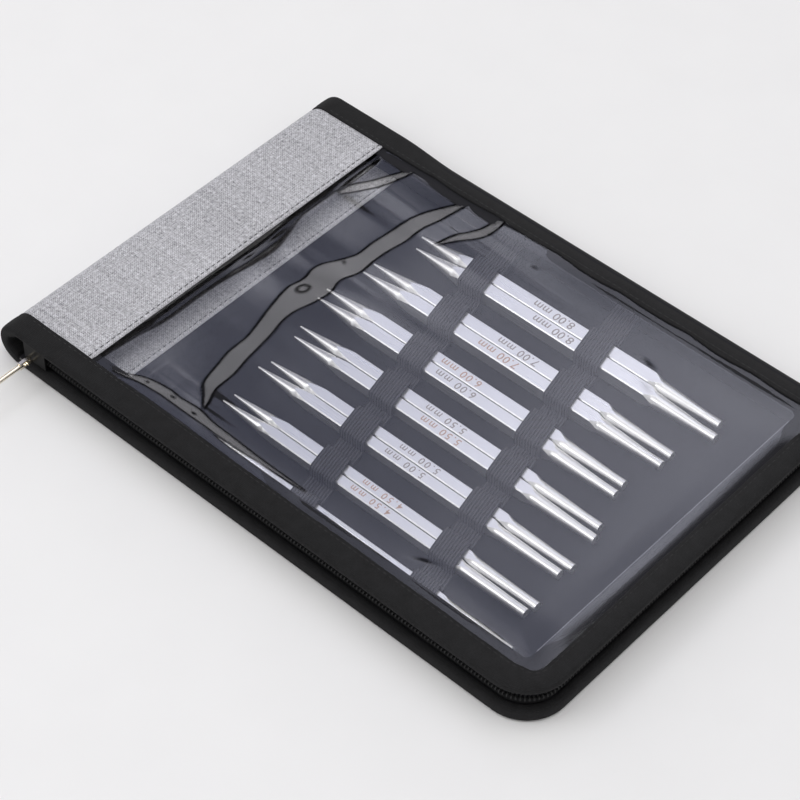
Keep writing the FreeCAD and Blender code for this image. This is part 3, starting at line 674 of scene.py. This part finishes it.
def row_tree(name, sizes, step):
    """A Geometry Nodes tree with named sizes: the tree, its flow, the sockets of its inputs, its path cut
    into steps and the turn that faces along it."""
    tree = bpy.data.node_groups.new(name, "GeometryNodeTree")
    tree.interface.new_socket("Path", in_out="INPUT", socket_type="NodeSocketGeometry")
    for size, value in sizes.items():
        socket = tree.interface.new_socket(size, in_out="INPUT", socket_type="NodeSocketFloat")
        socket.default_value = value
    tree.interface.new_socket("Finish", in_out="INPUT", socket_type="NodeSocketMaterial")
    tree.interface.new_socket("Pieces", in_out="OUTPUT", socket_type="NodeSocketGeometry")
    flow = Thread(tree)
    entry = tree.nodes.new("NodeGroupInput")
    given = {socket.name: Thread(tree, socket) for socket in entry.outputs if socket.name}
    path = flow.node("GeometryNodeMeshToCurve", None, {"Mesh": given["Path"]})
    path = flow.node("GeometryNodeResampleCurve", {"mode": "LENGTH"}, {"Curve": path, "Length": given[step]})
    ahead = flow.node("GeometryNodeInputTangent")
    facing = flow.node("FunctionNodeAlignRotationToVector", {"axis": "Z"}, {"Vector": ahead})
    return tree, flow, given, path, facing


def close_row(tree, flow, given, path, shape, turned):
    """Sets the shape at each point of the path, then makes it real and gives it its finish."""
    placed = flow.node("GeometryNodeInstanceOnPoints", None, {"Points": path, "Instance": shape, "Rotation": turned})
    real = flow.node("GeometryNodeRealizeInstances", None, {"Geometry": placed})
    smooth = flow.node("GeometryNodeSetShadeSmooth", None, {"Geometry": real})
    done = flow.node("GeometryNodeSetMaterial", None, {"Geometry": smooth, "Material": given["Finish"]})
    leave = tree.nodes.new("NodeGroupOutput")
    tree.links.new(done.socket, leave.inputs["Pieces"])


def run_row(name, tree, points, finish, **sizes):
    """Runs a tree along a line of points and gives the result as a plain mesh piece."""
    line = bpy.data.meshes.new(name)
    line.from_pydata(points, [(place, place + 1) for place in range(len(points) - 1)], [])
    piece = put(name, line)
    row = piece.modifiers.new("row", "NODES")
    row.node_group = tree
    for item in tree.interface.items_tree:
        if item.in_out == "INPUT" and item.name in sizes:
            row[item.identifier] = sizes[item.name]
        if item.in_out == "INPUT" and item.name == "Finish":
            row[item.identifier] = finish
    settle(piece)
    return piece


coil_sizes = {"Pitch": COIL_PITCH, "Width": 0.72 * MM, "Height": 0.52 * MM, "Wire": 0.26 * MM}
coil_tree, flow, given, path, facing = row_tree("coil row", coil_sizes, "Pitch")
ring = flow.node("GeometryNodeCurvePrimitiveCircle", None, {"Resolution": 10, "Radius": 1.0})
oval = flow.node("ShaderNodeCombineXYZ", None, {0: given["Width"], 1: given["Height"], 2: 1.0})
ring = flow.node("GeometryNodeTransform", None, {"Geometry": ring, "Scale": oval})
wire = flow.node("GeometryNodeCurvePrimitiveCircle", None, {"Resolution": 5, "Radius": given["Wire"]})
turn = flow.node("GeometryNodeCurveToMesh", None, {"Curve": ring, "Profile Curve": wire})
upright = flow.node("FunctionNodeAlignRotationToVector", {"axis": "Y", "pivot_axis": "Z"},
                    {"Rotation": facing, "Vector": (0, 0, 1)})
close_row(coil_tree, flow, given, path, turn, upright)
for half, up in (("back", -1), ("front", 1)):
    low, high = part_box(f"{half}_zip_coil")
    inset = SIDE_Y - (high.y - COIL_HALF)
    points = []
    for corner, inward, normal, run in rim(up, low.x + COIL_START, False, 4 * MM):
        spot = corner + inward * inset
        if half == "back" or spot.y > 0 or spot.x > SLIDER_END:
            points.append((spot.x, spot.y, (low.z + high.z) / 2))
    coil = run_row(f"{half}_coil_row", coil_tree, points, nylon, Pitch=COIL_PITCH)
    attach(coil, half)
    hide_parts(f"{half}_zip_coil")

# Window. A sheet of clear vinyl fills the front cover, held only at its edges, so it keeps
# soft waves, creased folds and dents, and a pinch beside the strip where it is folded back;
# its creases, dents and pinch are darkened with painted shade and painted shadow.
WINDOW_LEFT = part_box("window_sheet")[0].x
VINYL_Z = (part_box("window_sheet")[0].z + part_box("window_sheet")[1].z) / 2
VINYL_EDGE = 5 * MM
FACING_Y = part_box("window_facing")[1].y
ACROSS_FOLDS = [
    (0.30, 1.0, [
        (-60, -37.6, -37.2), (-57, -40.0, -38.0), (-54.3, -42.8, -38.9), (-51.5, -45.8, -40.2),
        (-48.4, -47.3, -40.4), (-42, -48.8, -40.4), (-35, -50.3, -41.7), (-27, -50.4, -42.9),
        (-21.5, -51.7, -43.7), (-14.3, -53.8, -45.3), (-9, -55.2, -44.8), (-3.7, -56.6, -43.0),
        (0, -57.0, -42.2), (3.1, -56.3, -42.0), (6, -56.0, -42.6), (9.7, -56.8, -43.6),
        (13.3, -56.6, -42.8), (17, -54.6, -41.6), (21, -52.2, -41.9), (25, -50.2, -42.3),
        (32, -50.2, -41.8), (40, -49.6, -40.6), (47, -49.0, -40.8), (54, -47.6, -39.4),
        (60, -44.5, -38.5), (66, -40.4, -37.7), (70, -37.6, -37.0)]),
    (0.30, 1.0, [
        (40, -75.3, -74.9), (44.7, -75.3, -71.2), (48.3, -74.8, -68.8), (54, -71.4, -65.9),
        (60.5, -68.1, -63.5), (65, -65.6, -62.2), (68.4, -63.0, -62.4)]),
    (0.30, 1.0, [
        (43, -33.0, -32.7), (47.5, -32.3, -29.6), (51.5, -31.5, -26.7), (55, -29.8, -23.9),
        (60, -27.3, -22.0), (65, -26.2, -22.0), (69, -25.7, -23.0), (73, -25.0, -24.4)]),
]
LONG_FOLDS = [
    (-0.30, 0.75, [
        (-72, -67.4, -67.0), (-65.9, -66.7, -64.6), (-60.7, -65.4, -61.6), (-52, -64.6, -59.8),
        (-46.7, -64.5, -60.0), (-38, -64.6, -59.4), (-31.4, -64.4, -60.5), (-21, -64.2, -60.9),
        (-10, -63.8, -61.4), (4, -63.0, -61.6), (12, -62.2, -61.8)]),
]
HEM_DIP = [(-66, 1.2, 0), (-50, 2.6, 0), (-41, 4, 0), (-22, 4.2, 0), (-13, 4.7, 0), (-1, 5.8, 0), (8, 6.6, 0),
           (17, 4.6, 0), (25, 2.6, 0), (42, 2.6, 0), (58, 2.2, 0), (68, 1.6, 0)]
DENTS = [(53.6, 50.4, 5.0, 1.0, -16), (54.6, -57.8, 5.4, 1.0, 24), (-0.8, 59.3, 2.4, 0.9, 40),
         (-58.5, -63.2, 1.2, 0.7, 20), (-48.0, -62.2, 1.3, 0.7, 10), (-38.0, -62.8, 1.6, 0.7, 0),
         (-56.4, 2.6, 3.2, 1.0, 72), (-50.7, 19.4, 2.8, 0.9, -33)]
RING_X, RING_Y, RING_RADIUS = -51.9, 1.0, 2.1
GLINTS = [(-31, 7), (16, 51), (65, 96)]
PINCH_SLOPE = 0.30
CREASE_HALF = 0.30
END_LENGTH = 3


def on_curve(points, at):
    """The two values and the slant of a smooth line through (place, value, value) points."""
    at = min(max(at, points[0][0]), points[-1][0])
    number = next(n for n in range(len(points) - 1) if at <= points[n + 1][0])
    quad = [points[min(max(n, 0), len(points) - 1)] for n in range(number - 1, number + 3)]
    span = quad[2][0] - quad[1][0]
    part = (at - quad[1][0]) / span
    values = []
    for item in (1, 2):
        leave = (quad[2][item] - quad[0][item]) / (quad[2][0] - quad[0][0]) * span
        reach = (quad[3][item] - quad[1][item]) / (quad[3][0] - quad[1][0]) * span
        values.append(
            quad[1][item] * (2 * part ** 3 - 3 * part ** 2 + 1) + leave * (part ** 3 - 2 * part ** 2 + part)
            + quad[2][item] * (3 * part ** 2 - 2 * part ** 3) + reach * (part ** 3 - part ** 2))
    return values[0], values[1], (quad[2][1] + quad[2][2] - quad[1][1] - quad[1][2]) / (2 * span)


def soft_step(value, soft):
    """Nothing below zero and the value above it, with a soft bend of this size between."""
    return soft * math.log1p(math.exp(min(60.0, value / soft))) if value < 30 * soft else value


def bell(off, wide):
    return math.exp(-((off / wide) ** 2))


def fold(slope, points, at, across):
    """How far a fold lifts the sheet, a slope as wide as the fold and level on both sides of it, and how
    near the place is to one of the two creases that bound it."""
    low, high, slant = on_curve(points, at)
    wide = (high - low) / math.hypot(1.0, slant)
    off = (across - (low + high) / 2) / math.hypot(1.0, slant)
    soft = min(0.24, 0.12 * wide)
    rise = soft_step(off + wide / 2, soft) - soft_step(off - wide / 2, soft) - wide / 2
    ends = ease(at, points[0][0], points[0][0] + END_LENGTH) * ease(points[-1][0] - at, 0.0, END_LENGTH)
    beyond = abs(off) - wide / 2
    return slope * rise * ends * bell(max(0.0, beyond), 22), ends * bell(beyond, CREASE_HALF)


def in_dent(x, y, dent):
    """How deep in a short pinched dent a place lies, from 0 to 1."""
    dent_x, dent_y, long, wide, turn = dent
    turn = math.radians(turn)
    along = (x - dent_x) * math.cos(turn) + (y - dent_y) * math.sin(turn)
    aside = (y - dent_y) * math.cos(turn) - (x - dent_x) * math.sin(turn)
    return math.exp(-2 * (along / long) ** 2 - 2 * (aside / wide) ** 2)


def window_lie(x, y):
    """How high the sheet lies, sewn at the hem and round the rim and wavy in between, how much painted shade
    it gets there along creases, dents and a ring, and how much painted shadow it gets where it is pinched at
    the hem. Reckoned in millimetres."""
    inset = inset_of(x, y) / MM
    x, y = x / MM, y / MM
    hem = HEM_X / MM
    from_side = SIDE_Y / MM - abs(y)
    swell = (0.25 * noise.noise(Vector((x * 0.024, y * 0.018, 1.7))) - 0.25) * ease(inset, 8, 20)
    lifts = [(dark, fold(slope, points, y, x)) for slope, dark, points in ACROSS_FOLDS]
    lifts += [(dark, fold(slope, points, x, y)) for slope, dark, points in LONG_FOLDS]
    dents = [in_dent(x, y, dent) for dent in DENTS]
    swell += sum(lift for dark, (lift, crease_shade) in lifts) - 0.12 * sum(dents)
    swell += (0.5 * ease(x, 50, 101.5) - 0.09 * max(0.0, soft_step(x - 101.8, 0.2))) * ease(from_side, 9, 30)
    for first, last in GLINTS:
        lit = ease(x, first, first + 12) * ease(last - x, 0.0, 12)
        swell += 0.5 * lit * bell(y + FACING_Y / MM - 12.2, 0.5)
    sewn = (5.5, 7.0) if x > 100 else (7.6, 9.0)
    swell *= ease(inset, *sewn) * ease(x, hem, hem + 4)
    dip = on_curve(HEM_DIP, y)[0]
    under = hem + dip - x
    if x > hem:
        swell -= PINCH_SLOPE * max(0.0, soft_step(under, 0.3))
    else:
        swell -= PINCH_SLOPE * dip * ease(x, hem - 1.6, hem)
    ring = bell(math.hypot(x - RING_X, y - RING_Y) - RING_RADIUS, 0.55)
    # Painted shade along the creases, dents, the ring and the hem's edge.
    marks = [dark * crease_shade for dark, (lift, crease_shade) in lifts] + [0.9 * dent ** 2 for dent in dents]
    painted_crease_shade = max(marks + [ring, bell(under, 0.35)])
    return VINYL_Z + (0.15 + swell) * MM, painted_crease_shade, ease(under, 0.0, 0.6)


def graded(places, counts):
    """Stations from place to place, each stretch cut into its own count."""
    stations = []
    for first, last, count in zip(places, places[1:], counts):
        stations += between(first, last, count)[:-1]
    return stations + [places[-1]]


def lay_over(share, first, second):
    """A share of the second shader laid over the first."""
    return flow.node("ShaderNodeMixShader", None, {0: share, 1: first, 2: second})


vinyl, flow, shader = new_finish("clear_vinyl")
haze = flow.on_body().noise(35.0, 3.0)
flow.fill(shader, {"Base Color": (0.95, 0.96, 1.0, 1), "Metallic": 1.0, "Roughness": 0.03 + 0.05 * haze})
clear = flow.node("ShaderNodeBsdfTransparent", None, {"Color": (0.97, 0.97, 0.98, 1)})
# Painted shade and shadow: this dark see-through mix darkens the sheet along its creases, dents and ring, for the dark
# reflections of the folds, and beside the hem, for the shadow under the strip.
dark = flow.node("ShaderNodeBsdfTransparent", None, {"Color": (0.30, 0.29, 0.29, 1)})
painted_crease_shade = flow.node("ShaderNodeAttribute", {"attribute_name": "crease_shade"}, None, 2)
hem_shadow_mask = flow.node("ShaderNodeAttribute", {"attribute_name": "painted_hem_shadow"}, None, 2)
tilt = flow.node("ShaderNodeLayerWeight", None, {"Blend": 0.5}, 1)
mixed = lay_over(0.8 * hem_shadow_mask, clear, dark)
mixed = lay_over(0.045 + 0.9 * tilt ** 5, mixed, Thread(flow.tree, shader.outputs[0]))
flow.fill(flow.tree.nodes["Material Output"], {"Surface": lay_over(painted_crease_shade, mixed, dark)})
stations = graded([WINDOW_LEFT, -20 * MM, 46 * MM, 61 * MM, 100 * MM, END_X - VINYL_EDGE], [126, 32, 20, 18, 24])
lines = graded([VINYL_EDGE - SIDE_Y, -67 * MM, -55 * MM, 46 * MM, SIDE_Y - VINYL_EDGE], [6, 42, 110, 44])
window = sew(
    "window_vinyl", cut_panel(stations, lines, CORNER - VINYL_EDGE, lambda x, y: window_lie(x, y)[0]),
    vinyl, thick=0.3 * MM)
lies = [window_lie(point.co.x, point.co.y) for point in window.data.vertices]
for number, name in ((1, "crease_shade"), (2, "painted_hem_shadow")):
    marked = window.data.attributes.new(name, "FLOAT", "POINT")
    marked.data.foreach_set("value", [lie[number] for lie in lies])
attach(window, "front")
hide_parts("window_sheet")

# Window facing. A slate tape under the vinyl's edge covers the zip's hem and
# shows as a narrow darker border inside the binding.
FACING_SECTION = [(12.4 * MM, 1.72 * MM), (12.5 * MM, 1.5 * MM), (12.3 * MM, 1.28 * MM), (11.6 * MM, 1.24 * MM),
                  (9.0 * MM, 1.26 * MM), (5.0 * MM, 1.28 * MM), (2.4 * MM, 1.3 * MM)]
facing_rows = along_rim(rim(1, FOLD_X + 0.2 * MM, False, 3 * MM), lambda run, corner: FACING_SECTION)
facing = sew("window_facing_tape", facing_rows, slate, thick=0.4 * MM)
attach(facing, "front")
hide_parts("window_facing")

# Stitching. Rows of thread hold the strip's hem to the vinyl, the inner strip to the lining and
# each binding through its inner edge; close rows of pale beads along the edges of inner strip and facing are
# painted highlights where those folded edges catch the light.
SEAM_INSET = 7.7 * MM
SEAM_SUNK = 0.10 * MM
stitch_sizes = {"Spacing": 2.6 * MM, "Length": 1.7 * MM, "Thick": 0.32 * MM}
stitch_tree, flow, given, path, facing_way = row_tree("stitch row", stitch_sizes, "Spacing")
bead = flow.node("GeometryNodeMeshUVSphere", None, {"Segments": 6, "Rings": 5, "Radius": 0.5})
long = flow.node("ShaderNodeCombineXYZ", None, {0: given["Thick"], 1: given["Thick"], 2: given["Length"]})
bead = flow.node("GeometryNodeTransform", None, {"Geometry": bead, "Scale": long})
close_row(stitch_tree, flow, given, path, bead, facing_way)
dark_thread = speckled_finish("dark_thread", (0.02, 0.02, 0.024, 1), (0.09, 0.09, 0.10, 1), 4000.0, 2.0)
black_thread = speckled_finish("black_thread", (0.003, 0.003, 0.004, 1), (0.014, 0.014, 0.016, 1), 4000.0, 2.0)
# Painted highlights: pale beads laid close as one line along the folded edges of the inner strip and the facing.
pale_edge_glint = speckled_finish("pale_edge_glint", (0.45, 0.45, 0.48, 1), (0.75, 0.75, 0.78, 1), 4000.0, 2.0)
facing_edge_glint = speckled_finish("facing_edge_glint", (0.16, 0.17, 0.20, 1), (0.34, 0.35, 0.39, 1), 4000.0, 2.0)
for name, body, slot, thread, x, z, half, spacing, length, thick in (
        ("hem_stitches", "front", "grey_weave", dark_thread,
         HEM_X - 1.5 * MM, TOP_Z - 0.10 * MM, 67.6 * MM, 2.5 * MM, 1.7 * MM, 0.36 * MM),
        ("inner_stitches", "back", "grey_weave", dark_thread,
         INNER_HEM_X - 1.5 * MM, LINING_TOP + 0.58 * MM, 70 * MM, 2.3 * MM, 1.3 * MM, 0.34 * MM),
        ("inner_edge_highlight", "back", "grey_weave", pale_edge_glint,
         INNER_HEM_X - 0.25 * MM, LINING_TOP + 0.5 * MM, 70 * MM, 1.2 * MM, 1.35 * MM, 0.40 * MM),
        ("facing_edge_highlight", "front", "slate_lining", facing_edge_glint,
         END_X - 12.7 * MM, TOP_Z - 1.2 * MM, 60 * MM, 1.2 * MM, 1.35 * MM, 0.40 * MM)):
    row = run_row(name, stitch_tree, [(x, y, z) for y in between(-half, half, 40)], thread,
                  Spacing=spacing, Length=length, Thick=thick)
    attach(row, body)
for half, up in (("front", 1), ("back", -1)):
    seam = [corner + inward * (SEAM_INSET - (end_trim(corner) if up > 0 else 0.0)) - normal * SEAM_SUNK
            for corner, inward, normal, run in rim(up, FOLD_X + 1.5 * MM, False, 3 * MM)]
    seam_row = run_row(f"{half}_binding_stitches", stitch_tree, seam, black_thread,
                       Spacing=2.4 * MM, Length=1.6 * MM, Thick=0.26 * MM)
    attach(seam_row, half)

# Zip metal. The slider's body is cast metal under dull black enamel. Its bail, the slim
# loop pull and the small stops are stamped metal with a pale gold plating, a little worn.
gold, flow, shader = new_finish("pale_gold_plate")
rub = flow.on_body().noise(420.0, 4.0)
flow.fill(shader, {
    "Base Color": rub.tint((0.72, 0.64, 0.50, 1), (0.95, 0.90, 0.80, 1)),
    "Roughness": 0.18 + 0.18 * (rub - 0.4),
    "Metallic": 1.0,
    "Normal": rub.bump(0.00003, 0.4)})
enamel = speckled_finish("black_enamel", (0.0015, 0.0015, 0.002, 1), (0.006, 0.006, 0.0065, 1), 500.0, 4.0, shine=0.14)
dress("zip_slider", enamel)
for name in ("slider_bail", "zip_pull", "zip_bottom_stop", "back_zip_top_stop", "front_zip_top_stop"):
    dress(name, gold)

# Setting. The case lies on a pale seamless floor in soft light from above, seen from
# the near side and the free end, well above the table.
AZIMUTH = math.radians(42.457)
ELEVATION = math.radians(47.436)
AIM = Vector((-3.4 * MM, -4.85 * MM, 0))
DISTANCE = 0.826232
FOCAL_LENGTH = 115.34
WHITE = (1, 1, 1, 1)
BLACK = (0, 0, 0, 1)
bpy.ops.mesh.primitive_plane_add(size=8, location=(0, 0, 0))
floor = bpy.context.object
floor.name = "floor"
paper, flow, shader = new_finish("pale_paper")
tooth = flow.on_body().noise(40.0, 3.0)
flow.fill(shader, {"Base Color": tooth.tint((0.80, 0.80, 0.81, 1), (0.83, 0.83, 0.84, 1)), "Roughness": 0.9})
floor.data.materials.append(paper)

away = Vector((math.sin(AZIMUTH) * math.cos(ELEVATION), -math.cos(AZIMUTH) * math.cos(ELEVATION), math.sin(ELEVATION)))
lens = bpy.data.cameras.new("camera")
lens.sensor_width = 36
lens.lens = FOCAL_LENGTH
lens.clip_start = 0.01
camera = put("camera", lens)
camera.location = AIM + DISTANCE * away
camera.rotation_euler = (-away).to_track_quat("-Z", "Y").to_euler()
bpy.context.scene.camera = camera

world = bpy.data.worlds.new("studio")
bpy.context.scene.world = world
world.use_nodes = True
flow = Thread(world.node_tree)
look = flow.node("ShaderNodeTexCoord", out=0)


def towards(way):
    """How far the look goes a given way."""
    return flow.node("ShaderNodeVectorMath", {"operation": "DOT_PRODUCT"}, {0: look, 1: way}, 1)


def ramp(value, *stops):
    """Colours set at places along a value."""
    made = flow.node("ShaderNodeValToRGB", None, {"Fac": value})
    marks = made.socket.node.color_ramp.elements
    marks.remove(marks[1])
    marks[0].position, marks[0].color = stops[0]
    for place, colour in stops[1:]:
        marks.new(place).color = colour
    return made


mirrored = towards((-away.x, -away.y, away.z))
sideways = towards((math.cos(AZIMUTH), math.sin(AZIMUTH), 0))
panel = ramp(
    0.5 + sideways, (0.40, (0.24, 0.25, 0.33, 1)), (0.44, (0.26, 0.27, 0.35, 1)), (0.50, (0.36, 0.37, 0.46, 1)),
    (0.58, (0.73, 0.735, 0.84, 1)), (0.64, (0.89, 0.895, 1.0, 1)))
gap = ramp(mirrored, (0.0, WHITE), (0.885, WHITE), (0.915, BLACK), (0.965, BLACK), (0.975, WHITE))
beyond = ramp(mirrored, (0.94, BLACK), (0.945, WHITE))
room = ramp(towards((-0.784, 0.499, 0.369)), (0.60, (0.33, 0.325, 0.32, 1)), (0.84, (0.60, 0.585, 0.59, 1)))
tent = gap.tint((0.01, 0.01, 0.01, 1), beyond.tint(room, panel))
flow.fill(world.node_tree.nodes["Background"], {"Color": tent, "Strength": 2.0})


def soft_light(name, place, size, power):
    """A soft rectangular lamp that shines on the case."""
    lamp = bpy.data.lights.new(name, "AREA")
    lamp.shape = "RECTANGLE"
    lamp.size, lamp.size_y = size
    lamp.energy = power
    stand = put(name, lamp)
    stand.location = place
    stand.rotation_euler = (-Vector(place)).to_track_quat("-Z", "Y").to_euler()


soft_light("overhead", (0.2, 0.25, 1.5), (1.4, 1.2), 7.2)
soft_light("near_side", (-0.6, -0.7, 0.9), (0.9, 0.8), 2.6)
soft_light("glint_strip", (-0.64, -0.77, 0.98), (0.5, 0.1), 1.4)
bpy.context.scene.view_settings.view_transform = "Standard"
